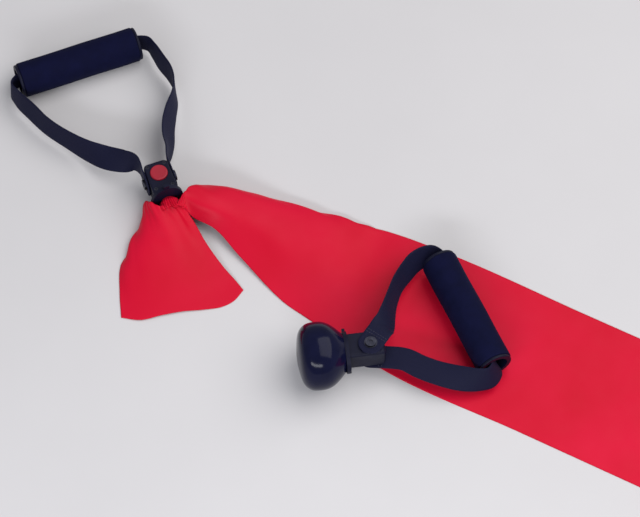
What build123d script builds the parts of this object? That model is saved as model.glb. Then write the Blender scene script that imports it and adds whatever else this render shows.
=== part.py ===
"""Flat latex exercise band with two quick-fit foam handles. Millimetres, +Z up.

The band lies along +X on the surface that the object rests on. Handle 1 holds the gathered band.
Handle 2 lies loose on the band, with a plug-in knob in its fitting.
"""
import os
from math import cos, radians, sin

from build123d import *

os.makedirs("parts", exist_ok=True)

# ---- driving dimensions ----
MID_X, MID_Y = 36.5, 6.4  # middle of the whole layout, which becomes the origin

BAND_WIDTH = 150.0
BAND_THICK = 0.5
ROLL_X = 445.0  # axis of the rolled far end
ROLL_R, ROLL_CORE_R = 16.0, 6.0
OVAL_SIDES = 16

WEB_WIDTH, WEB_THICK = 25.0, 1.5
STRAP_STEPS = 56  # flat facets along each branch

GRIP_LENGTH = 133.0
FOAM_R, CORE_R, CORE_BORE_R = 18.5, 14.0, 12.9
RING_R, RING_LENGTH = 17.5, 3.0
GRIP_MOUTH = GRIP_LENGTH / 2 + 3.0  # from the grip's middle to where the strap turns
PASS_HALF, TWIST_STEPS = 45.0, 8  # half of the level pass through the grip; the webbing twists outside it

# fitting, in its own frame: x along the bore towards the mouth, y along the strap pivots, z to the button
BODY_BACK, BODY_FRONT, BODY_WIDTH = -14.0, 22.0, 26.0
BODY_BOTTOM, BODY_TOP, COVER_TOP = -12.0, 8.0, 14.0
BODY_CORNER, BODY_EDGE = 5.0, 3.0
FLANGE_THICK, FLANGE_WIDE, FLANGE_TALL = 4.0, 34.0, 44.0
MOUTH = BODY_FRONT + FLANGE_THICK
BORE_R, BORE_START = 7.2, -7.0
TAB_THUMB = (3.0, 6.0, 5.0)  # index tab on the flange: length, width, height

PIVOT_HOLE_R, PIVOT_HOLE_DEPTH = 2.0, 4.5
SHOULDER_R, PIVOT_HEAD_R, PIVOT_HEAD_THICK = 3.05, 5.5, 1.6
PIVOT_HEX_R, PIVOT_HEX_DEPTH = 2.0, 0.9
EYELET_BORE_R, EYELET_BARREL_R, EYELET_RIM_R, EYELET_RIM = 3.1, 4.2, 6.5, 0.4
TAB_FACE = 13.8  # inner face of a strap end, from the fitting's middle plane
TAB_MIDDLE = TAB_FACE + WEB_THICK / 2
TAB_REACH = 17.0  # from the pivot to where the strap leaves the fitting

BUTTON_R, BUTTON_RIM_R, BUTTON_PROUD, BUTTON_TRAVEL = 9.0, 10.2, 2.0, 2.0
WELL_R, WELL_RIM_R, WELL_LIP = 9.3, 10.6, 2.4
BUTTON_BASE = BODY_TOP + BUTTON_TRAVEL + 0.2
FORK_X, FORK_THICK, FORK_HALF, FORK_FOOT = 4.0, 2.0, 9.0, -5.0
COVER_SCREWS = [(-10.2, 9.0), (-10.2, -9.0), (17.0, 9.0), (17.0, -9.0)]
COVER_SCREW_R, COVER_SCREW_DEPTH, COVER_SCREW_TIP = 1.1, 6.0, 5.5
COVER_HEAD_R, COVER_HEAD_HOLE_R, COVER_HEAD_THICK, COVER_HEAD_SUNK = 2.0, 2.1, 1.5, 0.3
RUN_CLEARANCE = 0.6  # of the latch fork in its slot

STEM_R, STEM_START, GROOVE_R, GROOVE = 4.5, -4.0, 3.0, (2.0, 6.0)
CUP_R, CUP_WAIST_R, CUP_START = 6.9, 5.0, -5.5
HEAD_R, HEAD_LENGTH = 9.0, 13.0
SCREW_R, SCREW_HEAD_R, SCREW_HEAD_THICK, SCREW_DEEP = 1.6, 3.2, 2.4, 13.0
SCREW_HEX_R, SCREW_HEX_DEPTH = 1.5, 1.2
HEAD_RECESS = 4.0  # for the screw's head, in the plug's head
KNOB_BOSS = 6.0  # thickness of the knob's wall round its screw

KNOB_R, KNOB_LENGTH, KNOB_BACK_R, KNOB_WALL, KNOB_SEAM = 34.0, 47.0, 19.0, 2.5, 26.0
KNOB_START = MOUTH + 0.3

# ---- layout: where each handle lies ----
HANDLES = {
    1: dict(
        fitting=(-183.0, 5.0, 23.0), axis=-41.7, button="up",
        grip=(-331.6, 95.5, FOAM_R), grip_axis=48.9,
        # strap stations from the fitting to the grip: x, y, z, lean of the webbing from upright in degrees
        strap_a=[(-214.0, 9.0, 28.2, -12), (-226.0, 6.0, 26.8, -38), (-242.0, 3.7, 23.3, -50),
                 (-265.7, 3.5, 20.0, -30), (-292.4, 6.3, 18.5, -17), (-321.4, 11.2, 18.5, -16),
                 (-345.0, 19.5, 18.5, -18), (-366.0, 27.0, 18.5, -12), (-377.5, 34.5, 18.5, -4)],
        strap_b=[(-191.7, 40.2, 23.5, 12), (-198.7, 52.1, 23.0, 26), (-207.5, 68.0, 22.5, 28),
                 (-213.7, 84.4, 21.5, 23), (-220.0, 104.3, 20.0, 10), (-228.8, 118.2, 19.0, -2),
                 (-239.4, 127.8, 18.5, -10), (-254.6, 136.5, 18.5, -14), (-268.0, 145.0, 18.5, -10),
                 (-278.5, 150.0, 18.5, -4)],
        tab_a=168.0, tab_b=180.0, mouth_a=0.0, mouth_b=0.0,
    ),
    2: dict(
        fitting=(101.1, -76.8, KNOB_R + 0.3), axis=215.4, button="side",
        grip=(164.0, 11.9, FOAM_R + BAND_THICK + 0.3), grip_axis=-38.5,
        strap_a=[(102.5, -48.0, 42.5, 56), (98.5, -32.0, 36.0, 36), (93.0, -12.0, 29.0, 25),
                 (89.5, 8.0, 24.5, 24), (90.0, 25.0, 21.5, 29), (92.6, 40.8, 20.0, 31),
                 (97.9, 50.4, 19.5, 29), (104.0, 55.3, 19.3, 27)],
        strap_b=[(133.0, -64.0, 20.0, 88), (151.0, -64.0, 19.5, 84), (175.9, -61.0, 19.3, 76),
                 (195.0, -56.0, 19.3, 56), (208.3, -50.2, 19.3, 36), (217.5, -42.3, 19.3, 29)],
        tab_a=132.0, tab_b=191.0, mouth_a=26.0, mouth_b=27.0,
    ),
}


def at(x, y, z=0.0):
    """A layout point in the row frame."""
    return Vector(x - MID_X, y - MID_Y, z)


def heading(angle):
    """The level unit vector at an angle from +X."""
    return Vector(cos(radians(angle)), sin(radians(angle)), 0)


def keep(piece, name, place=None):
    """Label a finished piece, put it in its place and write its STEP file."""
    kept = piece if place is None else piece.moved(place)
    kept.label = name
    export_step(kept, f"parts/{name}.step")
    return kept


def fitting_place(handle):
    """The fitting's own frame: its button faces up, or sideways where the fitting lies on its side."""
    forward = heading(handle["axis"])
    button = Vector(0, 0, 1) if handle["button"] == "up" else heading(handle["axis"] - 90)
    return Plane(origin=at(*handle["fitting"]), x_dir=forward, z_dir=button)


def grip_place(handle):
    """The grip's own frame: z along the grip, x upright."""
    return Plane(origin=at(*handle["grip"]), x_dir=(0, 0, 1), z_dir=heading(handle["grip_axis"]))


# ---- grip pieces, z along the grip ----
def tube(outer, inner, low, high, edge=0.0):
    with BuildPart() as piece:
        with BuildSketch(Plane.XY.offset(low)):
            Circle(outer)
            Circle(inner, mode=Mode.SUBTRACT)
        extrude(amount=high - low)
        if edge:
            rims = piece.edges().filter_by(GeomType.CIRCLE).group_by(SortBy.RADIUS)[-1]
            fillet(rims, edge)
    return piece.part


def make_grip(number, place):
    half = GRIP_LENGTH / 2
    keep(tube(FOAM_R, CORE_R, -half + RING_LENGTH, half - RING_LENGTH, 2.0), f"grip_foam_{number}", place)
    keep(tube(CORE_R, CORE_BORE_R, -half, half), f"grip_core_{number}", place)
    keep(tube(RING_R, CORE_R, -half, -half + RING_LENGTH, 1.0), f"grip_ring_left_{number}", place)
    keep(tube(RING_R, CORE_R, half - RING_LENGTH, half, 1.0), f"grip_ring_right_{number}", place)


# ---- strap ----
def ribbon_plane(point, along, lean):
    """A cross-section plane of the webbing: local y runs across its width."""
    side = Vector(0, 0, 1).cross(along).normalized()
    upright = along.cross(side).normalized()
    width = upright * cos(radians(lean)) + side * sin(radians(lean))
    return Plane(origin=point, x_dir=width.cross(along), z_dir=along)


def blend(fraction, marks):
    """Straight-line value at a fraction, from (fraction, value) marks."""
    for (f0, v0), (f1, v1) in zip(marks, marks[1:]):
        if fraction <= f1:
            return v0 + (v1 - v0) * (fraction - f0) / (f1 - f0)
    return marks[-1][1]


def ribbon_sections(stations, start_dir, end_dir, steps):
    """Cross-sections of the webbing along a smooth route through its stations, and the route's length."""
    points = [Vector(x, y, z) for x, y, z, lean in stations]
    route = Edge.make_spline(points, tangents=[start_dir, end_dir], scale=False)
    runs = [(b - a).length for a, b in zip(points, points[1:])]
    marks = [(sum(runs[:i]) / sum(runs), station[3]) for i, station in enumerate(stations)]
    sections = []
    for i in range(steps + 1):
        u = i / steps
        with BuildSketch(ribbon_plane(route.position_at(u), route.tangent_at(u), blend(u, marks))) as section:
            Rectangle(WEB_THICK, WEB_WIDTH)
        sections.append(section.sketch.face())
    return sections, route.length


def tab_plane(handle, fit, side, angle):
    """A strap end's own plane against one side of the fitting, with x along the strap."""
    turn = radians(handle[angle])
    return Plane(origin=fit.from_local_coords(Vector(0, side * TAB_MIDDLE - WEB_THICK / 2, 0)),
                 x_dir=fit.x_dir * cos(turn) + fit.z_dir * sin(turn), z_dir=fit.y_dir)


def twist_sections(grip, mouth_side, lean):
    """Cross-sections of the webbing inside the grip's mouth, as far as where its width is upright."""
    inward = grip.z_dir * -mouth_side
    sections = []
    for i in range(1, TWIST_STEPS + 1):
        share = i / TWIST_STEPS
        place = grip.origin - inward * (GRIP_MOUTH + (PASS_HALF - GRIP_MOUTH) * share)
        with BuildSketch(ribbon_plane(place, inward, lean * (1 - share))) as section:
            Rectangle(WEB_THICK, WEB_WIDTH)
        sections.append(section.sketch.face())
    return sections


def make_strap(number, handle, fit, grip):
    """One length of webbing: an eye, a branch, the pass through the grip, a branch and an eye."""
    lies_on_side = handle["button"] == "side"
    lengths = [2 * GRIP_MOUTH]
    with BuildPart() as strap:
        for end, mouth_side in (("a", -1), ("b", 1)):
            eye = tab_plane(handle, fit, -mouth_side if lies_on_side else mouth_side, "tab_" + end)
            with BuildSketch(eye):
                Circle(WEB_WIDTH / 2)
                with Locations((TAB_REACH / 2, 0)):
                    Rectangle(TAB_REACH, WEB_WIDTH)
                Circle(EYELET_BARREL_R, mode=Mode.SUBTRACT)
            extrude(amount=WEB_THICK)
            start = eye.from_local_coords(Vector(TAB_REACH, 0, WEB_THICK / 2))
            mouth = grip.origin + grip.z_dir * mouth_side * GRIP_MOUTH
            stations = [(*start, 90.0 if lies_on_side else 0.0)]
            stations += [(*at(x, y, z), lean) for x, y, z, lean in handle["strap_" + end]]
            stations += [(*mouth, handle["mouth_" + end])]
            sections, length = ribbon_sections(stations, eye.x_dir, grip.z_dir * -mouth_side, STRAP_STEPS)
            sections += twist_sections(grip, mouth_side, handle["mouth_" + end])
            loft(sections, ruled=True)
            lengths.append(length + TAB_REACH)
        with BuildSketch(ribbon_plane(grip.origin - grip.z_dir * PASS_HALF, grip.z_dir, 0.0)):
            Rectangle(WEB_THICK, WEB_WIDTH)
        extrude(amount=2 * PASS_HALF)
    keep(strap.part, f"strap_{number}")
    print(f"strap {number}: {sum(lengths):.0f} mm of webbing, {len(strap.part.solids())} solid")


def side_plane(side, distance):
    """A plane on one side of the fitting, facing outwards along the pivot axis."""
    return Plane(origin=(0, side * distance, 0), x_dir=(1, 0, 0), z_dir=(0, side, 0))


def make_pivots(number, place):
    with BuildPart() as eyelets:
        for side in (-1, 1):
            with BuildSketch(side_plane(side, TAB_FACE - EYELET_RIM)):
                Circle(EYELET_RIM_R)
                Circle(EYELET_BORE_R, mode=Mode.SUBTRACT)
            extrude(amount=EYELET_RIM)
            with BuildSketch(side_plane(side, TAB_FACE)):
                Circle(EYELET_BARREL_R)
                Circle(EYELET_BORE_R, mode=Mode.SUBTRACT)
            extrude(amount=WEB_THICK)
            with BuildSketch(side_plane(side, TAB_FACE + WEB_THICK)):
                Circle(EYELET_RIM_R)
                Circle(EYELET_BORE_R, mode=Mode.SUBTRACT)
            extrude(amount=EYELET_RIM)
    keep(eyelets.part, f"strap_eyelets_{number}", place)

    head_face = TAB_FACE + WEB_THICK + EYELET_RIM + 0.3
    wall = BODY_WIDTH / 2
    with BuildPart() as screws:
        for side in (-1, 1):
            with BuildSketch(side_plane(side, wall - PIVOT_HOLE_DEPTH)):
                Circle(PIVOT_HOLE_R)
            extrude(amount=PIVOT_HOLE_DEPTH)
            with BuildSketch(side_plane(side, wall)):
                Circle(SHOULDER_R)
            extrude(amount=head_face - wall)
            with BuildSketch(side_plane(side, head_face)):
                Circle(PIVOT_HEAD_R)
            extrude(amount=PIVOT_HEAD_THICK)
            with BuildSketch(side_plane(side, head_face + PIVOT_HEAD_THICK)):
                RegularPolygon(PIVOT_HEX_R, 6)
            extrude(amount=-PIVOT_HEX_DEPTH, mode=Mode.SUBTRACT)
    keep(screws.part, f"pivot_screws_{number}", place)


# ---- fitting pieces, in the fitting's own frame ----
def make_housing(number, place):
    length = BODY_FRONT - BODY_BACK
    centre = (BODY_FRONT + BODY_BACK) / 2
    with BuildPart() as body:
        with BuildSketch(Plane.XY.offset(BODY_BOTTOM)):
            with Locations((centre, 0)):
                Rectangle(length, BODY_WIDTH)
        extrude(amount=BODY_TOP - BODY_BOTTOM)
        fillet(body.edges().filter_by(Axis.Z).group_by(Axis.X)[0], BODY_CORNER)
        fillet(body.edges().group_by(Axis.Z)[0].sort_by(Axis.X)[:-1], BODY_EDGE)
        with BuildSketch(Plane.YZ.offset(BODY_FRONT)):
            Ellipse(FLANGE_WIDE / 2, FLANGE_TALL / 2)
        extrude(amount=FLANGE_THICK)
        with Locations((BODY_FRONT + FLANGE_THICK / 2, 0, FLANGE_TALL / 2 + 1)):
            Box(*TAB_THUMB, align=(Align.CENTER, Align.CENTER, Align.CENTER))
        with BuildSketch(Plane.YZ.offset(BORE_START)):
            Circle(BORE_R)
        extrude(amount=MOUTH - BORE_START, mode=Mode.SUBTRACT)
        slot_low = FORK_FOOT - BUTTON_TRAVEL - RUN_CLEARANCE
        with Locations((FORK_X, 0, slot_low)):
            Box(FORK_THICK + RUN_CLEARANCE, 2 * FORK_HALF + RUN_CLEARANCE, BODY_TOP - slot_low,
                align=(Align.CENTER, Align.CENTER, Align.MIN), mode=Mode.SUBTRACT)
        for side in (-1, 1):
            with BuildSketch(side_plane(side, BODY_WIDTH / 2)):
                Circle(PIVOT_HOLE_R)
            extrude(amount=-PIVOT_HOLE_DEPTH, mode=Mode.SUBTRACT)
        with BuildSketch(Plane.XY.offset(BODY_TOP)):
            with Locations(*COVER_SCREWS):
                Circle(COVER_SCREW_R)
        extrude(amount=-COVER_SCREW_DEPTH, mode=Mode.SUBTRACT)
    keep(body.part, f"housing_body_{number}", place)

    seat = COVER_TOP - COVER_HEAD_SUNK - COVER_HEAD_THICK  # under the cover screws' heads
    with BuildPart() as cover:
        with BuildSketch(Plane.XY.offset(BODY_TOP)):
            with Locations((centre - 0.1, 0)):
                Rectangle(length - 0.2, BODY_WIDTH)
        extrude(amount=COVER_TOP - BODY_TOP)
        fillet(cover.edges().filter_by(Axis.Z).group_by(Axis.X)[0], BODY_CORNER)
        fillet(cover.edges().group_by(Axis.Z)[-1].sort_by(Axis.X)[:-1], BODY_EDGE / 2)
        with BuildSketch(Plane.XY.offset(BODY_TOP)):
            Circle(WELL_R)
        extrude(amount=COVER_TOP - BODY_TOP, mode=Mode.SUBTRACT)
        with BuildSketch(Plane.XY.offset(BODY_TOP)):
            Circle(WELL_RIM_R)
        extrude(amount=COVER_TOP - BODY_TOP - WELL_LIP, mode=Mode.SUBTRACT)
        with BuildSketch(Plane.XY.offset(BODY_TOP)):
            with Locations(*COVER_SCREWS):
                Circle(COVER_SCREW_R)
        extrude(amount=COVER_TOP - BODY_TOP, mode=Mode.SUBTRACT)
        with BuildSketch(Plane.XY.offset(seat)):
            with Locations(*COVER_SCREWS):
                Circle(COVER_HEAD_HOLE_R)
        extrude(amount=COVER_TOP - seat, mode=Mode.SUBTRACT)
    keep(cover.part, f"housing_cover_{number}", place)

    with BuildPart() as screws:
        with BuildSketch(Plane.XY.offset(BODY_TOP - COVER_SCREW_TIP)):
            with Locations(*COVER_SCREWS):
                Circle(COVER_SCREW_R)
        extrude(amount=seat - BODY_TOP + COVER_SCREW_TIP)
        with BuildSketch(Plane.XY.offset(seat)):
            with Locations(*COVER_SCREWS):
                Circle(COVER_HEAD_R)
        extrude(amount=COVER_HEAD_THICK)
        with BuildSketch(Plane.XY.offset(seat + COVER_HEAD_THICK)):
            with Locations(*COVER_SCREWS):
                RegularPolygon(COVER_SCREW_R, 6)
        extrude(amount=-COVER_HEAD_THICK / 2, mode=Mode.SUBTRACT)
    keep(screws.part, f"cover_screws_{number}", place)


def make_button(number, place):
    rim_top = COVER_TOP - WELL_LIP - 0.1
    with BuildPart() as button:
        with BuildSketch(Plane.XY.offset(BUTTON_BASE)):
            Circle(BUTTON_RIM_R)
        extrude(amount=rim_top - BUTTON_BASE)
        with BuildSketch(Plane.XY.offset(rim_top)):
            Circle(BUTTON_R)
        extrude(amount=COVER_TOP + BUTTON_PROUD - rim_top)
        fillet(button.edges().group_by(Axis.Z)[-1], 1.2)
    keep(button.part, f"lock_button_{number}", place)

    with BuildPart() as fork:
        with BuildSketch(Plane.YZ.offset(FORK_X - FORK_THICK / 2)):
            with Locations((0, (BUTTON_BASE + FORK_FOOT) / 2)):
                Rectangle(2 * FORK_HALF, BUTTON_BASE - FORK_FOOT)
            Circle(BORE_R, mode=Mode.SUBTRACT)
            with Locations((0, FORK_FOOT / 2)):
                Rectangle(2 * BORE_R, -FORK_FOOT, mode=Mode.SUBTRACT)
        extrude(amount=FORK_THICK)
    keep(fork.part, f"latch_fork_{number}", place)


def make_stem(name, place):
    """A grooved stem with a blind screw hole in its mouth end."""
    with BuildPart() as stem:
        with BuildSketch(Plane.YZ.offset(STEM_START)):
            Circle(STEM_R)
        extrude(amount=MOUTH - STEM_START)
        fillet(stem.edges().group_by(Axis.X)[0], 1.5)
        with BuildSketch(Plane.YZ.offset(GROOVE[0])):
            Circle(STEM_R)
            Circle(GROOVE_R, mode=Mode.SUBTRACT)
        extrude(amount=GROOVE[1] - GROOVE[0], mode=Mode.SUBTRACT)
        with BuildSketch(Plane.YZ.offset(MOUTH)):
            Circle(SCREW_R)
        extrude(amount=-SCREW_DEEP, mode=Mode.SUBTRACT)
    return keep(stem.part, name, place)


def make_screw(name, head_x, place):
    """The screw along the axis that holds a head or knob on its stem."""
    with BuildPart() as screw:
        with BuildSketch(Plane.YZ.offset(MOUTH - SCREW_DEEP)):
            Circle(SCREW_R)
        extrude(amount=head_x - MOUTH + SCREW_DEEP)
        with BuildSketch(Plane.YZ.offset(head_x)):
            Circle(SCREW_HEAD_R)
        extrude(amount=SCREW_HEAD_THICK)
        with BuildSketch(Plane.YZ.offset(head_x + SCREW_HEAD_THICK)):
            RegularPolygon(SCREW_HEX_R, 6)
        extrude(amount=-SCREW_HEX_DEPTH, mode=Mode.SUBTRACT)
    return keep(screw.part, name, place)


def head_solid():
    """The plug's round head, without its screw hole."""
    with BuildPart() as head:
        with BuildSketch(Plane.XZ):
            with BuildLine():
                Polyline((MOUTH, 0), (MOUTH, STEM_R + 1), (MOUTH + 4, HEAD_R))
                RadiusArc((MOUTH + 4, HEAD_R), (MOUTH + HEAD_LENGTH, 0), HEAD_R)
                Line((MOUTH + HEAD_LENGTH, 0), (MOUTH, 0))
            make_face()
        revolve(axis=Axis.X)
    return head.part


def make_band_plug(place):
    make_stem("band_plug_stem", place)
    with BuildPart() as head:
        add(head_solid())
        with BuildSketch(Plane.YZ.offset(MOUTH)):
            Circle(SCREW_R)
        extrude(amount=HEAD_LENGTH, mode=Mode.SUBTRACT)
        with BuildSketch(Plane.YZ.offset(MOUTH + HEAD_LENGTH - HEAD_RECESS)):
            Circle(SCREW_HEAD_R + 0.1)
        extrude(amount=HEAD_RECESS, mode=Mode.SUBTRACT)
    keep(head.part, "band_plug_head", place)
    make_screw("band_plug_screw", MOUTH + HEAD_LENGTH - HEAD_RECESS, place)


def knob_points(start, length, back, widest):
    """The knob's outline from its back rim to its nose, as (x, radius)."""
    bulge = widest - back
    return [(start, back), (start + 0.17 * length, back + 0.53 * bulge),
            (start + 0.38 * length, back + 0.93 * bulge), (start + 0.60 * length, widest),
            (start + 0.77 * length, 0.95 * widest), (start + 0.88 * length, 0.82 * widest),
            (start + 0.95 * length, 0.59 * widest), (start + 0.99 * length, 0.26 * widest),
            (start + length, 0)]


def knob_solid(start, length, back, widest):
    with BuildPart() as solid:
        with BuildSketch(Plane.XZ):
            with BuildLine():
                outline = Spline(*knob_points(start, length, back, widest), tangents=[(1, 1), (0, -1)])
                Polyline(outline @ 1, (start, 0), outline @ 0)
            make_face()
        revolve(axis=Axis.X)
    return solid.part


def make_knob(place):
    make_stem("knob_stem", place)
    outer = knob_solid(KNOB_START, KNOB_LENGTH, KNOB_BACK_R, KNOB_R)
    inner = knob_solid(KNOB_START + KNOB_WALL, KNOB_LENGTH - 2 * KNOB_WALL, KNOB_BACK_R - KNOB_WALL / 2,
                       KNOB_R - KNOB_WALL)
    seam = Plane.YZ.offset(KNOB_START + KNOB_SEAM)
    with BuildPart() as back:
        add(outer)
        add(inner, mode=Mode.SUBTRACT)
        split(bisect_by=seam, keep=Keep.BOTTOM)
        with BuildSketch(Plane.YZ.offset(MOUTH)):
            Circle(STEM_R)
        extrude(amount=KNOB_BOSS)
        with BuildSketch(Plane.YZ.offset(MOUTH)):
            Circle(SCREW_R)
        extrude(amount=KNOB_BOSS, mode=Mode.SUBTRACT)
    keep(back.part, "knob_back", place)
    with BuildPart() as front:
        add(outer)
        add(inner, mode=Mode.SUBTRACT)
        split(bisect_by=seam, keep=Keep.TOP)
    keep(front.part, "knob_front", place)
    make_screw("knob_screw", MOUTH + KNOB_BOSS, place)


# ---- the band ----
def oval_face(plane, width, height):
    """A flattened many-sided section, so that neighbouring sections loft edge to edge."""
    turns = [radians(360 * (i + 0.5) / OVAL_SIDES) for i in range(OVAL_SIDES)]
    with BuildSketch(plane) as section:
        Polygon(*[(width / 2 * cos(a), height / 2 * sin(a)) for a in turns], align=None)
    return section.sketch.face()


def level_oval(x, y, angle, width, low, high):
    """A flattened upright section across a heading, from one height to another."""
    middle = at(x, y, (low + high) / 2)
    return oval_face(Plane(origin=middle, x_dir=heading(angle + 90), z_dir=heading(angle)), width, high - low)


def make_band(place):
    with BuildPart() as cup:
        with BuildSketch(Plane.YZ.offset(CUP_START)):
            Circle(CUP_R)
        extrude(amount=MOUTH + 1 - CUP_START)
        with BuildSketch(Plane.YZ.offset(GROOVE[0])):
            Circle(CUP_R)
            Circle(CUP_WAIST_R, mode=Mode.SUBTRACT)
        extrude(amount=GROOVE[1] - GROOVE[0], mode=Mode.SUBTRACT)
    with BuildPart() as stem_core:
        with BuildSketch(Plane.YZ.offset(STEM_START)):
            Circle(STEM_R)
        extrude(amount=MOUTH - STEM_START)
    neck = Plane(origin=place.from_local_coords(Vector(MOUTH + 0.8, 0, 0)),
                 x_dir=place.y_dir, z_dir=place.x_dir)
    mouth = oval_face(neck, 2 * HEAD_R + 3, 2 * HEAD_R + 3)
    main = [mouth, level_oval(-142, -4, -28, 52, 3, 36), level_oval(-116, 6, 2, 54, 0.5, 28),
            level_oval(-62, 7, 4, 84, 0, 14), level_oval(0, 0, 2, 118, 0, 3)]
    tail = [mouth, level_oval(-155, -24, -50, 42, 3, 34), level_oval(-148, -52, -56, 58, 0.5, 15),
            level_oval(-128, -82, -56, 96, 0, 4)]
    main_outline = [(-66, -34), (-23, -48), (24, -60), (72, -70), (110, -75), (ROLL_X, -75),
                    (ROLL_X, 75), (125, 75), (72, 71), (24, 63), (-24, 54), (-66, 44)]
    tail_outline = [(-179, -62), (-176, -90), (-160, -122), (-148, -144), (-127, -137), (-111, -123),
                    (-94, -109), (-76, -97), (-56, -78), (-52, -59), (-78, -48), (-110, -34)]
    with BuildPart() as band:
        add(cup.part.moved(place.location))
        for sections in (main, tail):
            loft(sections, ruled=True)
        for outline in (main_outline, tail_outline):
            with BuildSketch(Plane.XY):
                with BuildLine():
                    Polyline(*[tuple(at(x, y))[:2] for x, y in outline], close=True)
                make_face()
            extrude(amount=BAND_THICK)
        with BuildSketch(Plane.XZ.offset(MID_Y - BAND_WIDTH / 2)):
            with Locations((ROLL_X - MID_X, ROLL_R)):
                Circle(ROLL_R)
                Circle(ROLL_CORE_R, mode=Mode.SUBTRACT)
        extrude(amount=BAND_WIDTH)
        for core in (stem_core.part, head_solid()):
            add(core.moved(place.location), mode=Mode.SUBTRACT)
    keep(band.part, "band")
    print("band solids", len(band.part.solids()), "box", band.part.bounding_box())


for number, handle in HANDLES.items():
    fit = fitting_place(handle)
    grip = grip_place(handle)
    make_grip(number, grip.location)
    make_strap(number, handle, fit, grip)
    make_pivots(number, fit.location)
    make_housing(number, fit.location)
    make_button(number, fit.location)
    if number == 1:
        make_band_plug(fit.location)
        make_band(fit)
    else:
        make_knob(fit.location)
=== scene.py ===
"""Flat latex exercise band with two foam-grip webbing handles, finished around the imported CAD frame.

Metres, +Z up. Layout points are in millimetres, as in the CAD source, and row() turns them into the frame.
"""
from math import cos, pi, radians, sin, sqrt, tau

import bmesh
import bpy
import numpy as np
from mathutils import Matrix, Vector


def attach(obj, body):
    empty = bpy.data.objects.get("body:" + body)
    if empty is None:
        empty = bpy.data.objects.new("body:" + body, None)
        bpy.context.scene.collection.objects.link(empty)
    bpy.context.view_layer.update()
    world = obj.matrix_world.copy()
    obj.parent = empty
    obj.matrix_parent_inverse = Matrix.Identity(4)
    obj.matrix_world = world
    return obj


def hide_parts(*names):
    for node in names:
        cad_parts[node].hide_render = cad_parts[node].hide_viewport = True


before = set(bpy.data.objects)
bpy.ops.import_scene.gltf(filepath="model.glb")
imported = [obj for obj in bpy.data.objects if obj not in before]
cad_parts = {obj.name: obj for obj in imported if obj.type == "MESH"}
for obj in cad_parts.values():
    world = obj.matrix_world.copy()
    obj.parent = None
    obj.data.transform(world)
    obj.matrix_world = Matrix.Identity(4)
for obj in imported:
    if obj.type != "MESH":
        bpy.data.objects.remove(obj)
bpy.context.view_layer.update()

MM = 0.001
MIDDLE = np.array([36.5, 6.4, 0.0])  # layout point at the frame's origin

BAND_WIDTH, BAND_THICK = 150.0, 0.5
ROLL_X, ROLL_R, ROLL_CORE_R = 445.0, 16.0, 6.0
WEB_WIDTH, WEB_THICK = 25.0, 1.5
GRIP_LENGTH, FOAM_R, CORE_R, RING_LENGTH = 133.0, 18.5, 14.0, 3.0
TAB_MIDDLE = 14.55  # from the fitting's middle plane to a strap end's
TAB_REACH = 17.0  # from a strap's eye to the end of its straight part
GRIP_REACH = GRIP_LENGTH / 2 + 3.0  # from the grip's middle to the strap's turn
PASS_REACH = 45.0  # from the grip's middle, as far as the webbing runs with its width upright
INNER = 0.6  # of a straight part's reach, where one more station keeps it straight
REST_GAP = 0.3  # between the band and the grip that lies on it
FLOOR_GAP = 0.05  # under the band, at the least

# The straps' stations run from the fitting to the grip. Each is (x, y, z, lean), and the lean is the
# webbing's, from upright, in degrees.
HANDLES = {
    1: dict(
        fitting=(-183.0, 5.0, 23.0), axis=-41.7, on_side=False,
        grip=(-331.6, 95.5, FOAM_R), grip_axis=48.9,
        strap_a=[(-214.0, 9.0, 28.2, -12), (-226.0, 6.0, 26.8, -38), (-242.0, 3.7, 23.3, -50),
                 (-265.7, 3.5, 20.0, -30), (-292.4, 6.3, 18.5, -17), (-321.4, 11.2, 18.5, -16),
                 (-345.0, 19.5, 18.5, -18), (-366.0, 27.0, 18.5, -12), (-377.5, 34.5, 18.5, -4)],
        strap_b=[(-191.7, 40.2, 23.5, 12), (-198.7, 52.1, 23.0, 26), (-207.5, 68.0, 22.5, 28),
                 (-213.7, 84.4, 21.5, 23), (-220.0, 104.3, 20.0, 10), (-228.8, 118.2, 19.0, -2),
                 (-239.4, 127.8, 18.5, -10), (-254.6, 136.5, 18.5, -14), (-268.0, 145.0, 18.5, -10),
                 (-278.5, 150.0, 18.5, -4)],
        tab_a=168.0, tab_b=180.0, mouth_a=0.0, mouth_b=0.0,
    ),
    2: dict(
        fitting=(101.1, -76.8, 34.3), axis=215.4, on_side=True,
        grip=(164.0, 11.9, FOAM_R + BAND_THICK + REST_GAP), grip_axis=-38.5,
        strap_a=[(102.5, -48.0, 42.5, 56), (98.5, -32.0, 36.0, 36), (93.0, -12.0, 29.0, 25),
                 (89.5, 8.0, 24.5, 24), (90.0, 25.0, 21.5, 29), (92.6, 40.8, 20.0, 31),
                 (97.9, 50.4, 19.5, 29), (104.0, 55.3, 19.3, 27)],
        strap_b=[(133.0, -64.0, 20.0, 88), (151.0, -64.0, 19.5, 84), (175.9, -61.0, 19.3, 76),
                 (195.0, -56.0, 19.3, 56), (208.3, -50.2, 19.3, 36), (217.5, -42.3, 19.3, 29)],
        tab_a=132.0, tab_b=191.0, mouth_a=26.0, mouth_b=27.0,
    ),
}


# ---- geometry helpers ----
def row(points):
    """Layout millimetres as row-frame metres."""
    return (np.asarray(points, float) - MIDDLE) * MM


def heading(angle):
    """The level unit vector at an angle from +X."""
    return np.array([cos(radians(angle)), sin(radians(angle)), 0.0])


def unit(vectors):
    return vectors / np.linalg.norm(vectors, axis=-1, keepdims=True)


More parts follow.
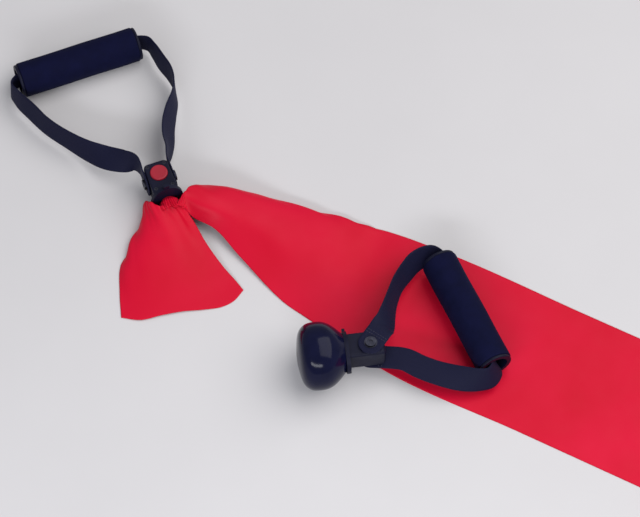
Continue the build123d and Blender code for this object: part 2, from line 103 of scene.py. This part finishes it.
def smooth(knots, values, at):
    """Values at some places along a smooth curve that passes through each knot."""
    knots, values, at = (np.asarray(a, float) for a in (knots, values, at))
    slopes = np.gradient(values, knots, axis=0)
    i = np.clip(np.searchsorted(knots, at, side="right") - 1, 0, len(knots) - 2)
    shape = (-1,) + (1,) * (values.ndim - 1)
    run = (knots[i + 1] - knots[i]).reshape(shape)
    t = (at - knots[i]).reshape(shape) / run
    near = values[i] * (1 + 2 * t) * (1 - t) ** 2 + slopes[i] * run * t * (1 - t) ** 2
    far = values[i + 1] * t * t * (3 - 2 * t) + slopes[i + 1] * run * t * t * (t - 1)
    return near + far


def along(points):
    """The distance along a line of points, from its first."""
    return np.concatenate([[0], np.cumsum(np.linalg.norm(np.diff(points, axis=0), axis=1))])


def evenly(points, count):
    """A smooth line through the points, as count points at equal distances."""
    marks = along(points)
    fine = smooth(marks, points, np.linspace(0, marks[-1], 400))
    reach = along(fine)
    at = np.linspace(0, reach[-1], count)
    return np.stack([np.interp(at, reach, fine[:, k]) for k in range(3)], axis=1)


def grid_mesh(name, points, uv=None, closed=False):
    """A mesh piece over a grid of points.

    A closed grid joins its last column to its first and caps its ends.
    """
    rows, columns = points.shape[:2]
    faces = []
    last = columns if closed else columns - 1
    for i in range(rows - 1):
        for j in range(last):
            k = (j + 1) % columns
            faces.append((i * columns + j, i * columns + k, (i + 1) * columns + k, (i + 1) * columns + j))
    if closed:
        faces.append(tuple(range(columns - 1, -1, -1)))
        faces.append(tuple((rows - 1) * columns + j for j in range(columns)))
    mesh = bpy.data.meshes.new(name)
    mesh.from_pydata(points.reshape(-1, 3).tolist(), [], faces)
    if uv is not None:
        layer = mesh.uv_layers.new(name="UVMap")
        corner = np.zeros(len(mesh.loops), int)
        mesh.loops.foreach_get("vertex_index", corner)
        layer.data.foreach_set("uv", uv.reshape(-1, 2)[corner].astype(np.float32).ravel())
    mesh.polygons.foreach_set("use_smooth", [True] * len(mesh.polygons))
    mesh.update()
    piece = bpy.data.objects.new(name, mesh)
    bpy.context.scene.collection.objects.link(piece)
    return piece


# ---- materials ----
def new_material(name, **sockets):
    """A node material with its Principled shader's own sockets set."""
    material = bpy.data.materials.new(name)
    material.use_nodes = True
    shader = material.node_tree.nodes["Principled BSDF"]
    for socket, value in sockets.items():
        shader.inputs[socket.replace("_", " ")].default_value = value
    return material, material.node_tree, shader


NOISE_ROUGHNESS = 0.55


def add_node(tree, kind, inputs=(), **settings):
    """A shader node with its settings, and its inputs set to values or linked to other nodes."""
    node = tree.nodes.new(kind)
    for key, value in settings.items():
        setattr(node, key, value)
    for socket, value in dict(inputs).items():
        if isinstance(value, bpy.types.NodeSocket):
            tree.links.new(value, node.inputs[socket])
        else:
            node.inputs[socket].default_value = value
    return node


def noise(tree, scale, detail=4.0):
    """Noise in the object's own metres."""
    place = add_node(tree, "ShaderNodeTexCoord").outputs["Object"]
    inputs = {"Vector": place, "Scale": scale, "Detail": detail, "Roughness": NOISE_ROUGHNESS}
    return add_node(tree, "ShaderNodeTexNoise", inputs).outputs["Fac"]


def ramp(tree, value, low, high, start=0.3, end=0.7):
    """Colours or greys from low to high as value goes from start to end."""
    node = add_node(tree, "ShaderNodeValToRGB", {"Fac": value})
    first, last = node.color_ramp.elements
    first.position, last.position = start, end
    first.color, last.color = [
        (*c, 1.0) if hasattr(c, "__len__") else (c, c, c, 1.0) for c in (low, high)
    ]
    return node.outputs["Color"]


def bump(tree, height, distance, strength=1.0, before=None):
    """A normal from the height, on top of the one before it."""
    inputs = {"Height": height, "Distance": distance, "Strength": strength}
    if before is not None:
        inputs["Normal"] = before
    return add_node(tree, "ShaderNodeBump", inputs).outputs["Normal"]


def maths(tree, operation, first, second=0.0):
    return add_node(tree, "ShaderNodeMath", {0: first, 1: second}, operation=operation).outputs[0]


def link(tree, value, shader, socket):
    tree.links.new(value, shader.inputs[socket])


def latex_material():
    """Satin latex: a slow colour cloud, a powdery grain and a soft unevenness."""
    material, tree, shader = new_material("latex", Specular_IOR_Level=0.12, Sheen_Weight=0.03,
                                          Sheen_Roughness=0.4, Sheen_Tint=(1.0, 0.45, 0.6, 1.0))
    cloud = noise(tree, 9.0, 2.0)
    link(tree, ramp(tree, cloud, (0.56, 0.0030, 0.022), (0.64, 0.0045, 0.035)), shader, "Base Color")
    link(tree, ramp(tree, noise(tree, 60.0, 3.0), 0.40, 0.50), shader, "Roughness")
    powder = bump(tree, noise(tree, 1800.0, 3.0), 0.00004, 0.5)
    link(tree, bump(tree, noise(tree, 45.0, 3.0), 0.0005, 0.35, powder), shader, "Normal")
    return material


def foam_material():
    """Closed-cell foam: small pores over a slightly uneven skin."""
    material, tree, shader = new_material("foam", Specular_IOR_Level=0.06, Sheen_Weight=0.01,
                                          Sheen_Roughness=0.5, Sheen_Tint=(0.45, 0.48, 0.8, 1.0))
    cloud = noise(tree, 70.0, 4.0)
    link(tree, ramp(tree, cloud, (0.0030, 0.0038, 0.021), (0.0050, 0.0060, 0.030)), shader, "Base Color")
    link(tree, ramp(tree, cloud, 0.72, 0.88), shader, "Roughness")
    place = add_node(tree, "ShaderNodeTexCoord").outputs["Object"]
    cells = add_node(tree, "ShaderNodeTexVoronoi", {"Vector": place, "Scale": 1300.0}, feature="F1")
    pores = bump(tree, cells.outputs["Distance"], 0.00018, 0.6)
    link(tree, bump(tree, noise(tree, 220.0, 3.0), 0.0004, 0.3, pores), shader, "Normal")
    return material


WARP_PITCH, WEFT_PITCH = 0.0016, 0.0024  # of the webbing's threads, in metres


def webbing_material():
    """Plain-woven webbing: threads along and across the strap, from its own length and width coordinates. Its
    colour is darker where the weave is low, which is painted shade between the threads, plus a random fray
    tone.
    """
    material, tree, shader = new_material("webbing", Specular_IOR_Level=0.15, Sheen_Weight=0.04,
                                          Sheen_Roughness=0.4, Sheen_Tint=(0.5, 0.52, 0.85, 1.0))
    place = add_node(tree, "ShaderNodeSeparateXYZ",
                     {0: add_node(tree, "ShaderNodeTexCoord").outputs["UV"]}).outputs
    warp = maths(tree, "SINE", maths(tree, "MULTIPLY", place[1], tau / WARP_PITCH))
    weft = maths(tree, "SINE", maths(tree, "MULTIPLY", place[0], tau / WEFT_PITCH))
    weave = maths(tree, "ADD", maths(tree, "MULTIPLY", maths(tree, "MULTIPLY", warp, weft), 0.5), 0.5)
    fray = noise(tree, 900.0, 3.0)
    height = maths(tree, "ADD", weave, maths(tree, "MULTIPLY", fray, 0.4))
    # painted shade: the colour follows the weave's height and is darker in the low places between the
    # threads; the fray noise in it is random tone
    colour = ramp(tree, height, (0.0030, 0.0036, 0.016), (0.0070, 0.0078, 0.032), 0.1, 1.1)
    link(tree, colour, shader, "Base Color")
    link(tree, ramp(tree, height, 0.82, 0.58, 0.1, 1.1), shader, "Roughness")
    link(tree, bump(tree, height, 0.00022, 0.8), shader, "Normal")
    return material


def plastic_material(name, dark, light, roughness, grain, depth, **sockets):
    """Moulded plastic: a faint colour cloud, a fine moulded grain and slightly rubbed patches."""
    material, tree, shader = new_material(name, **sockets)
    link(tree, ramp(tree, noise(tree, 55.0, 3.0), dark, light), shader, "Base Color")
    link(tree, ramp(tree, noise(tree, 90.0, 5.0), *roughness), shader, "Roughness")
    link(tree, bump(tree, noise(tree, grain, 2.0), depth, 0.5), shader, "Normal")
    return material


def steel_material():
    """Darkened steel for screws and eyelets, uneven in gloss."""
    material, tree, shader = new_material("steel", Metallic=1.0)
    colour = ramp(tree, noise(tree, 400.0, 3.0), (0.030, 0.031, 0.045), (0.055, 0.056, 0.075))
    link(tree, colour, shader, "Base Color")
    link(tree, ramp(tree, noise(tree, 900.0, 3.0), 0.32, 0.5), shader, "Roughness")
    return material


LATEX = latex_material()
FOAM = foam_material()
WEBBING = webbing_material()
MOULDING = plastic_material("moulding", (0.0034, 0.0040, 0.015), (0.0055, 0.0062, 0.022), (0.42, 0.56),
                            1500.0, 0.00006, Specular_IOR_Level=0.16)
KNOB = plastic_material("knob_gloss", (0.0030, 0.0038, 0.020), (0.0050, 0.0060, 0.028), (0.10, 0.18),
                        300.0, 0.00002, Specular_IOR_Level=0.14)
BUTTON = plastic_material("button_red", (0.30, 0.0060, 0.020), (0.36, 0.0085, 0.027), (0.38, 0.5),
                          1500.0, 0.00005, Specular_IOR_Level=0.4)
STEEL = steel_material()
THREAD = plastic_material("thread", (0.010, 0.010, 0.030), (0.018, 0.018, 0.046), (0.55, 0.7),
                          3000.0, 0.00008, Sheen_Weight=0.2)


# ---- the band ----
FIT_1 = np.array(HANDLES[1]["fitting"])
FIT_1_X, FIT_1_Y = heading(HANDLES[1]["axis"]), heading(HANDLES[1]["axis"] + 90)


def in_fitting(x, y, z):
    """A layout point from handle 1's fitting frame: x along the bore, y level, z up."""
    return FIT_1 + FIT_1_X * x + FIT_1_Y * y + np.array([0, 0, z])


def half_ring(x, radius, side):
    """A rib round one side of the bore's axis, from below to above."""
    return [in_fitting(x, side * radius * cos(a), radius * sin(a)) for a in np.linspace(-pi / 2, pi / 2, 9)]


# Each rib is (distance, points across the band from the left or far edge to the edge at the gap). The
# tail's distances are from its cut end, and the main part's from where it leaves the fitting.
TAIL_RIBS = [
    (0, [(-146, -143.5, 0.5), (-127, -137, 1.2), (-111, -123, 1.8), (-94, -109, 1.6), (-76, -97, 1.0),
         (-61, -85, 0.6), (-55, -76, 0.6), (-51.5, -59, 0.8)]),
    (28, [(-161, -120, 0.6), (-148, -120, 2.2), (-128, -112, 3.6), (-108, -98, 3.8), (-90, -82, 3.0),
          (-74, -66, 1.8), (-64, -53, 1.5)]),
    (55, [(-176, -91, 0.8), (-171, -93, 4.0), (-153, -92, 7.4), (-133, -83, 8.0), (-112, -69, 7.0),
          (-95, -55, 5.0), (-83, -45, 3.5)]),
    (85, [(-172, -64, 0.8), (-179, -63, 2.2), (-180, -62, 6.5), (-173, -64, 11.0), (-159, -61, 14.5),
          (-141, -53, 14.5), (-124, -41, 11.5), (-110, -31, 8.5)]),
    (108, [(-165, -37, 2.6), (-176, -35, 2.6), (-181, -36, 9.0), (-178, -39, 17.5), (-168, -41, 24.0),
           (-155, -37, 25.0), (-143, -26, 21.0), (-136, -15, 14.5)]),
    (122, [(-163, -17, 5.0), (-172, -17, 3.5), (-180, -18, 9.0), (-181.5, -22, 20.0), (-175.5, -26, 29.5),
           (-165, -26, 30.5), (-155, -20, 29.5), (-148, -13, 26.0)]),
]
MAIN_RIBS = [
    (20, [(-158, 5, 6.0), (-152, 13, 4.0), (-146, 19, 12.0), (-147, 16, 24.0), (-150, 6, 30.0),
          (-150, -5, 30.0), (-147, -12.5, 26.0)]),
    (38, [(-130, 14, 3.0), (-126, 27, 1.8), (-124, 32, 9.0), (-127, 28, 20.0), (-129, 17, 26.0),
          (-130, -2, 27.5), (-134, -10, 20.0), (-136, -13, 14.0)]),
    (68, [(-98, 28, 1.0), (-96, 41, 2.2), (-96, 42, 8.6), (-98, 36, 16.4), (-100, 24, 20.6),
          (-102, 2, 21.5), (-106, -8, 16.0), (-110, -14, 11.5)]),
    (113, [(-50, 40, 0.6), (-50, 50, 1.2), (-50, 52.6, 5.8), (-53, 46, 9.8), (-56, 31, 13.2),
           (-60, 5, 14.0), (-66, -12, 8.5), (-72, -28, 4.5)]),
    (168, [(4, 57, 0.6), (3.5, 62.6, 1.1), (2.5, 63.4, 2.4), (0, 56, 4.8), (-2, 10, 6.2), (-3, -24, 2.4),
           (-4, -46, 0.8), (-5, -53.5, 0.5)]),
    (190, [(25, 64.5, 0.5), (24.5, 66.6, 0.9), (23.5, 65.4, 2.0), (22, 52, 2.9), (20, 8, 3.0), (19, -28, 1.2),
           (18, -57.5, 0.5)]),
    (213, [(45, 69.6, 0.4), (45, 30, 0.5), (45, -15, 0.5), (45, -62.5, 0.5)]),
    (228, [(60, 71.6, 0.4), (60, 30, 0.5), (60, -30, 0.5), (60, -67, 0.5)]),
    (283, [(115, 75.2, 0.33), (115, 30, 0.35), (115, -30, 0.35), (115, -75, 0.33)]),
    (433, [(265, 75, 0.33), (265, 30, 0.35), (265, -30, 0.35), (265, -75, 0.33)]),
]
TAIL_LENGTH = 137.0
HEAD_OVERLAP = 8.0  # the rings round the plug's head start this far before the tail's end
# Inside the fitting the band is bunched round the plug's stem: (place along the bore, radius).
BORE_RINGS = [(26.6, 6.5), (22, 6.0), (9, 5.8), (6.6, 5.5), (5.4, 4.3), (2.6, 4.3), (1.4, 5.3), (-2.5, 5.5)]
HEAD_RINGS = [(28.0, 7.9), (30.0, 9.5), (34.0, 10.0), (38.5, 10.6)]
BUNCH_END, BUNCH_HALF = -5.4, 5.2  # where the folded band ends in the bore, and half its height there
HEAD_STEP, BORE_STEP = 3.2, 3.0  # band between one ring and the next
BUNCH_IN, BUNCH_OUT = 5.5, 2.5  # band before and after the fold at the bore's end
# From here the band lies flat as far as the roll: its place along the main part, and in the layout.
FLAT_FROM, FLAT_X = 433.0, 265.0
FLAT_Z, FLAT_LIFT = 0.33, 0.03  # height of the flat part, and how much more its middle stands up
ROLL_PITCH, ROLL_GAP = 0.84, 0.1  # from one turn to the next, and inside the CAD roll's outside
ACROSS = 112  # points across the sheet
# Rows of points along the sheet, part by part. The tail's rows end at TAIL_ROWS_TO along it, and
# the fitting's rows go on for MOUTH_ROWS_PAST beyond where the main part starts.
TAIL_ROWS, MOUTH_ROWS, MAIN_ROWS, FLAT_ROWS, ROLL_ROWS = 70, 90, 190, 30, 520
TAIL_ROWS_TO, MOUTH_ROWS_PAST = 120.0, 20.0


def band_stations():
    """Every rib along the band, from the cut tail end, as (distance, points)."""
    stations = [(s, np.array(points, float)) for s, points in TAIL_RIBS]
    s = TAIL_LENGTH - HEAD_OVERLAP
    for x, radius in reversed(HEAD_RINGS):
        stations.append((s, np.array(half_ring(x, radius, -1))))
        s += HEAD_STEP
    for x, radius in BORE_RINGS:
        s += BORE_STEP
        stations.append((s, np.array(half_ring(x, radius, -1))))
    s += BUNCH_IN
    heights = np.linspace(-BUNCH_HALF, BUNCH_HALF, 9)
    stations.append((s, np.array([in_fitting(BUNCH_END, 0, z) for z in heights])))
    s += BUNCH_OUT
    for x, radius in reversed(BORE_RINGS):
        s += BORE_STEP
        stations.append((s, np.array(half_ring(x, radius, 1))))
    for x, radius in HEAD_RINGS:
        s += HEAD_STEP
        stations.append((s, np.array(half_ring(x, radius, 1))))
    return stations, s


def roll_line(start, count):
    """Points of the rolled far end in the X-Z plane, with their distance from where the roll starts."""
    turns = (ROLL_R - BAND_THICK - ROLL_CORE_R) / ROLL_PITCH
    angles = np.linspace(0, turns * tau, count)
    radii = ROLL_R - BAND_THICK / 2 - ROLL_GAP - ROLL_PITCH * angles / tau
    line = np.stack([ROLL_X + radii * np.sin(angles), ROLL_R - radii * np.cos(angles)], axis=1)
    steps = np.linalg.norm(np.diff(line, axis=0), axis=1)
    return line, start + np.concatenate([[0], np.cumsum(steps)])


def make_band():
    """One sheet from the cut tail, through the fitting and along the floor, to the rolled far end."""
    stations, mouth = band_stations()
    stations += [(mouth + s, np.array(points, float)) for s, points in MAIN_RIBS]
    knots = np.array([s for s, points in stations])
    ribs = np.stack([evenly(points, ACROSS) for s, points in stations])
    past = mouth + MOUTH_ROWS_PAST
    at = np.concatenate([np.linspace(0, TAIL_ROWS_TO, TAIL_ROWS, endpoint=False),
                         np.linspace(TAIL_ROWS_TO, past, MOUTH_ROWS, endpoint=False),
                         np.linspace(past, mouth + FLAT_FROM, MAIN_ROWS)])
    sheet = smooth(knots, ribs, at)
    sheet = pleated(sheet, at, mouth)
    sheet[..., 2] = np.maximum(sheet[..., 2], BAND_THICK / 2 + FLOOR_GAP)

    start = mouth + FLAT_FROM
    flat_s = np.linspace(0, ROLL_X - FLAT_X, FLAT_ROWS)[1:-1]
    width = np.linspace(BAND_WIDTH / 2, -BAND_WIDTH / 2, ACROSS)
    flat = np.zeros((len(flat_s), ACROSS, 3))
    flat[..., 0] = FLAT_X + flat_s[:, None]
    flat[..., 1] = width
    settle = (1 - flat_s / flat_s[-1])[:, None]
    flat[..., 2] = FLAT_Z + FLAT_LIFT * settle * np.cos(width / BAND_WIDTH * pi)[None, :]
    line, roll_s = roll_line(start + ROLL_X - FLAT_X, ROLL_ROWS)
    turned = np.zeros((len(line), ACROSS, 3))
    turned[..., 0], turned[..., 2] = line[:, :1], line[:, 1:]
    # The roll's turns do not lie exactly edge to edge.
    drift = 0.9 * np.sin(roll_s / 61.0) + 0.5 * np.sin(roll_s / 17.0)
    turned[..., 1] = width + (drift * np.clip((roll_s - roll_s[0]) / 80, 0, 1))[:, None]
    points = np.concatenate([sheet, flat, turned])
    lengths = np.concatenate([at, start + flat_s, roll_s])
    uv = np.zeros((len(points), ACROSS, 2))
    uv[..., 0] = lengths[:, None] * MM
    uv[..., 1] = np.linspace(0, BAND_WIDTH * MM, ACROSS)
    piece = grid_mesh("band_sheet", row(points), uv)
    thick = piece.modifiers.new("thickness", "SOLIDIFY")
    thick.thickness, thick.offset = BAND_THICK * MM, 0.0
    piece.data.materials.append(LATEX)
    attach(piece, "root")
    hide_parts("band")


FINE_COUNT, BROAD_COUNT = 11, 4.4  # pleats across the band
FINE_LIFT, FINE_FADE = 0.75, 16.0  # of the fine pleats: height, and how far out of the fitting they fade
FINE_LOSS = 0.68  # of their height, inside the fitting
BROAD_LIFT, BROAD_PEAK, BROAD_FADE = 0.65, 18.0, 26.0  # of the broad ones, and where they are highest


def pleated(sheet, at, mouth):
    """The sheet with the small pleats that run out of the fitting on both sides."""
    t = np.linspace(0, 1, sheet.shape[1])[None, :]
    normal = np.cross(np.gradient(sheet, axis=0), np.gradient(sheet, axis=1))
    normal = normal / np.maximum(np.linalg.norm(normal, axis=2, keepdims=True), 1e-9)
    # The part in and round the fitting, by its middle and half its length.
    centre = (TAIL_LENGTH - HEAD_OVERLAP + mouth) / 2
    half = (mouth - TAIL_LENGTH + HEAD_OVERLAP) / 2
    away = np.maximum(np.abs(at - centre) - half, 0)[:, None]
    inside = np.clip((half - np.abs(at - centre)) / 10, 0, 1)[:, None]
    fine = np.sin(tau * FINE_COUNT * t + 1.3 * np.sin(tau * 2.3 * t) + at[:, None] / 70)
    broad = np.sin(tau * BROAD_COUNT * t + 0.9 + 0.8 * np.sin(tau * 1.1 * t))
    lift = (FINE_LIFT * np.exp(-((away / FINE_FADE) ** 2)) * fine * (1 - FINE_LOSS * inside)
            + BROAD_LIFT * np.exp(-((away - BROAD_PEAK) / BROAD_FADE) ** 2) * broad * (1 - inside))
    return sheet + normal * lift[..., None]


# ---- the straps ----
def strap_line(handle):
    """The strap's stations from one end to the other: points in layout millimetres, and leans in degrees."""
    origin = np.array(handle["fitting"])
    forward = heading(handle["axis"])
    button = heading(handle["axis"] - 90) if handle["on_side"] else np.array([0, 0, 1.0])
    pivot = np.cross(button, forward)
    grip = np.array(handle["grip"])
    grip_axis = heading(handle["grip_axis"])
    halves = []
    for side, branch, angle in ((-1, "strap_a", "tab_a"), (1, "strap_b", "tab_b")):
        turn = radians(handle[angle])
        leave = forward * cos(turn) + button * sin(turn)
        eye = origin + pivot * (-side if handle["on_side"] else side) * TAB_MIDDLE
        lie_flat = 90.0 if handle["on_side"] else 0.0
        places = [eye - leave * WEB_WIDTH / 2, eye, eye + leave * TAB_REACH * INNER, eye + leave * TAB_REACH]
        leans = [lie_flat] * len(places)
        for x, y, z, lean in handle[branch]:
            places.append(np.array([x, y, z], float))
            leans.append(lean)
        mouth_lean = handle["mouth" + branch[-2:]]
        for reach, lean in ((GRIP_REACH, mouth_lean), (PASS_REACH, 0.0), (PASS_REACH * INNER, 0.0)):
            places.append(grip + grip_axis * side * reach)
            leans.append(lean)
        halves.append((places, leans))
    (places_a, leans_a), (places_b, leans_b) = halves
    # The second half runs back to its eye, so its lean is measured the other way.
    places = np.array(places_a + places_b[::-1])
    leans = np.array(leans_a + [-lean for lean in leans_b[::-1]], float)
    return places, leans


def strap_frames(places, leans, step):
    """The smoothed centre line, with its forward, across and through directions at each point."""
    marks = along(places)
    count = int(marks[-1] / step)
    at = np.linspace(0, marks[-1], count)
    line = smooth(marks, places, at)
    forward = unit(np.gradient(line, axis=0))
    side = unit(np.cross(np.array([0, 0, 1.0]), forward))
    upright = np.cross(forward, side)
    lean = np.radians(smooth(marks, leans, at))[:, None]
    width = upright * np.cos(lean) + side * np.sin(lean)
    return line, forward, width, np.cross(width, forward)


def web_section():
    """Points round the webbing's cross-section as (across, through) shares, with rounded selvedges."""
    top = [(t * 0.965, 0.5 - 0.05 * t * t) for t in np.linspace(-1, 1, 11)]
    end = [(0.99, 0.30), (1.0, 0.0), (0.99, -0.30)]
    bottom = [(-y, -z) for y, z in top]
    start = [(-0.99, -0.30), (-1.0, 0.0), (-0.99, 0.30)]
    return np.array(top + end + bottom + start)


WEB_STEP = 1.5  # between the webbing's rings of points


def make_strap(number):
    """The webbing as one closed ribbon with rounded ends round its eyes."""
    places, leans = strap_line(HANDLES[number])
    line, forward, width, through = strap_frames(places, leans, WEB_STEP)
    reach = along(line)
    tip = WEB_WIDTH / 2
    from_end = np.minimum(reach, reach[-1] - reach)
    inset = np.clip(tip - from_end, 0, tip - 0.05)
    narrow = np.sqrt(tip ** 2 - inset ** 2)
    section = web_section()
    ring = (line[:, None, :] + width[:, None, :] * (section[None, :, :1] * narrow[:, None, None])
            + through[:, None, :] * section[None, :, 1:] * WEB_THICK)
    uv = np.zeros(ring.shape[:2] + (2,))
    uv[..., 0] = reach[:, None] * MM
    uv[..., 1] = section[None, :, 0] * tip * MM
    piece = grid_mesh(f"strap_web_{number}", row(ring), uv, closed=True)
    piece.data.materials.append(WEBBING)
    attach(piece, f"strap_{number}_body")
    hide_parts(f"strap_{number}")
    make_stitches(number, line, forward, width, through, reach)


STITCH_ROWS = (21.5, 24.5)  # from the strap's tip
STITCH_R, STITCH_HALF = 0.32, 1.1


def make_stitches(number, line, forward, width, through, reach):
    """Two rows of stitches across the webbing behind each eye, on both faces."""
    places = []
    for start, sign in ((0.0, 1), (reach[-1], -1)):
        for distance in STITCH_ROWS:
            i = int(np.argmin(np.abs(reach - (start + sign * distance))))
            for share in np.linspace(-0.8, 0.8, 8):
                for face in (-1, 1):
                    centre = (line[i] + width[i] * share * WEB_WIDTH / 2
                              + through[i] * face * WEB_THICK * 0.47)
                    places.append((centre, width[i], forward[i], through[i]))
    turn = np.linspace(0, tau, 8, endpoint=False)
    stations = np.linspace(-1, 1, 7)
    rings = []
    for centre, long_way, short_way, out in places:
        for s in stations:
            r = STITCH_R * sqrt(max(1 - s * s, 0.02))
            middle = centre + long_way * STITCH_HALF * s
            rings.append([middle + (short_way * cos(a) + out * sin(a)) * r for a in turn])
    points = np.array(rings).reshape(len(places), len(stations), len(turn), 3)
    vertices, faces = [], []
    for stitch in points:
        base = len(vertices)
        vertices += row(stitch).reshape(-1, 3).tolist()
        n = len(turn)
        for i in range(len(stations) - 1):
            for j in range(n):
                k = (j + 1) % n
                low, high = base + i * n, base + (i + 1) * n
                faces.append((low + j, low + k, high + k, high + j))
        faces.append(tuple(base + j for j in range(n - 1, -1, -1)))
        faces.append(tuple(base + (len(stations) - 1) * n + j for j in range(n)))
    mesh = bpy.data.meshes.new(f"stitches_{number}")
    mesh.from_pydata(vertices, [], faces)
    mesh.polygons.foreach_set("use_smooth", [True] * len(mesh.polygons))
    piece = bpy.data.objects.new(f"stitches_{number}", mesh)
    bpy.context.scene.collection.objects.link(piece)
    piece.data.materials.append(THREAD)
    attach(piece, f"strap_{number}_body")


# ---- the grips ----
FOAM_EDGE = 1.4  # rounding of the sleeve's ends


def make_foam(number):
    """The foam sleeve: rounded ends, a slightly uneven skin and a bore round the core tube."""
    handle = HANDLES[number]
    axis = heading(handle["grip_axis"])
    level = heading(handle["grip_axis"] + 90)
    up = np.array([0, 0, 1.0])
    half = GRIP_LENGTH / 2 - RING_LENGTH
    edge = FOAM_EDGE
    turn = np.linspace(0, tau, 97)[:-1]
    corner = [(half - edge + edge * sin(a), FOAM_R - edge + edge * cos(a)) for a in np.linspace(0, pi / 2, 8)]
    run = [(x, FOAM_R) for x in np.linspace(-(half - edge), half - edge, 60)]
    outside = [(-x, r) for x, r in corner[::-1]] + run[1:-1] + corner
    bore = [(half, CORE_R + 1.0), (half - 0.4, CORE_R + 0.1)]
    profile = outside + bore + [(-x, r) for x, r in bore[::-1]]
    rings = []
    for x, r in profile:
        uneven = 0.16 * np.sin(3 * turn + x / 19) * cos(x / 31) + 0.1 * np.sin(5 * turn - x / 11)
        radius = r + (uneven - 0.12 if r > CORE_R + 1.5 else 0 * turn)
        rings.append(np.array(handle["grip"]) + axis * x
                     + level * (radius * np.cos(turn))[:, None] + up * (radius * np.sin(turn))[:, None])
    rings.append(rings[0])
    piece = grid_mesh(f"grip_foam_sleeve_{number}", row(np.array(rings)))
    close_columns(piece, len(rings), len(turn))
    piece.data.materials.append(FOAM)
    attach(piece, f"grip_{number}")
    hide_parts(f"grip_foam_{number}")


def close_columns(piece, rows, columns):
    """Adds the faces between a grid's last and first column, and merges its matching ends."""
    made = bmesh.new()
    made.from_mesh(piece.data)
    made.verts.ensure_lookup_table()
    for i in range(rows - 1):
        a, b = i * columns + columns - 1, i * columns
        made.faces.new([made.verts[k] for k in (a, b, b + columns, a + columns)])
    bmesh.ops.remove_doubles(made, verts=made.verts, dist=1e-7)
    bmesh.ops.recalc_face_normals(made, faces=made.faces)
    for face in made.faces:
        face.smooth = True
    made.to_mesh(piece.data)
    made.free()


# ---- build ----
make_band()
for number in HANDLES:
    make_strap(number)
    make_foam(number)

FINISHES = {
    "housing": MOULDING, "latch": MOULDING, "grip_core": MOULDING, "grip_ring": MOULDING,
    "lock_button": BUTTON, "knob_back": KNOB, "knob_front": KNOB, "band_plug_head": MOULDING,
    "band_plug_stem": MOULDING, "knob_stem": MOULDING, "band_plug_screw": STEEL, "knob_screw": STEEL,
    "cover_screws": STEEL, "pivot_screws": STEEL, "strap_eyelets": STEEL,
}
for name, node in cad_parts.items():
    for start, material in FINISHES.items():
        if name.startswith(start):
            node.data.materials.clear()
            node.data.materials.append(material)

# ---- studio ----
FLOOR_HALF = 6  # metres
floor_mesh = bpy.data.meshes.new("floor")
corners = [(-FLOOR_HALF, -FLOOR_HALF, 0), (FLOOR_HALF, -FLOOR_HALF, 0),
           (FLOOR_HALF, FLOOR_HALF, 0), (-FLOOR_HALF, FLOOR_HALF, 0)]
floor_mesh.from_pydata(corners, [], [(0, 1, 2, 3)])
floor = bpy.data.objects.new("floor", floor_mesh)
bpy.context.scene.collection.objects.link(floor)
floor_material, floor_tree, floor_shader = new_material("floor", Roughness=0.75)
floor_colour = ramp(floor_tree, noise(floor_tree, 3.0), (0.60, 0.59, 0.60), (0.63, 0.62, 0.63))
link(floor_tree, floor_colour, floor_shader, "Base Color")
floor_mesh.materials.append(floor_material)

world = bpy.data.worlds.new("studio")
world.use_nodes = True
background = world.node_tree.nodes["Background"].inputs
background["Color"].default_value = (0.93, 0.94, 1.0, 1.0)
background["Strength"].default_value = 0.40
bpy.context.scene.world = world


def soft_light(name, place, target, size, power, colour):
    """A rectangular lamp at a place, aimed at the target, in metres and watts."""
    data = bpy.data.lights.new(name, "AREA")
    data.shape = "RECTANGLE"
    data.size, data.size_y = size
    data.energy, data.color = power, colour
    lamp = bpy.data.objects.new(name, data)
    lamp.location = place
    lamp.rotation_euler = (Vector(target) - Vector(place)).to_track_quat("-Z", "Y").to_euler()
    bpy.context.scene.collection.objects.link(lamp)


soft_light("key", (1.0, 0.8, 2.1), (0, 0, 0), (3.2, 2.6), 58.0, (1.0, 0.98, 0.96))
soft_light("front_low", (0.34, -1.28, 0.76), (0.02, -0.13, 0.05), (1.3, 0.22), 11.0, (0.94, 0.96, 1.0))

AZIMUTH, ELEVATION, DISTANCE = radians(27.4), radians(60.0), 2.8
FRAME_WIDTH = 0.6528  # what the picture's long side covers at the target
SENSOR_WIDTH = 36.0
target = Vector(row((0.0, 10.0, 0.0)))
back = Vector((sin(AZIMUTH) * cos(ELEVATION), -cos(AZIMUTH) * cos(ELEVATION), sin(ELEVATION)))
camera_data = bpy.data.cameras.new("camera")
camera_data.sensor_width = SENSOR_WIDTH
camera_data.lens = SENSOR_WIDTH * DISTANCE / FRAME_WIDTH
camera = bpy.data.objects.new("camera", camera_data)
camera.location = target + back * DISTANCE
camera.rotation_euler = (-back).to_track_quat("-Z", "Y").to_euler()
bpy.context.scene.collection.objects.link(camera)
bpy.context.scene.camera = camera
bpy.context.scene.view_settings.view_transform = "Standard"
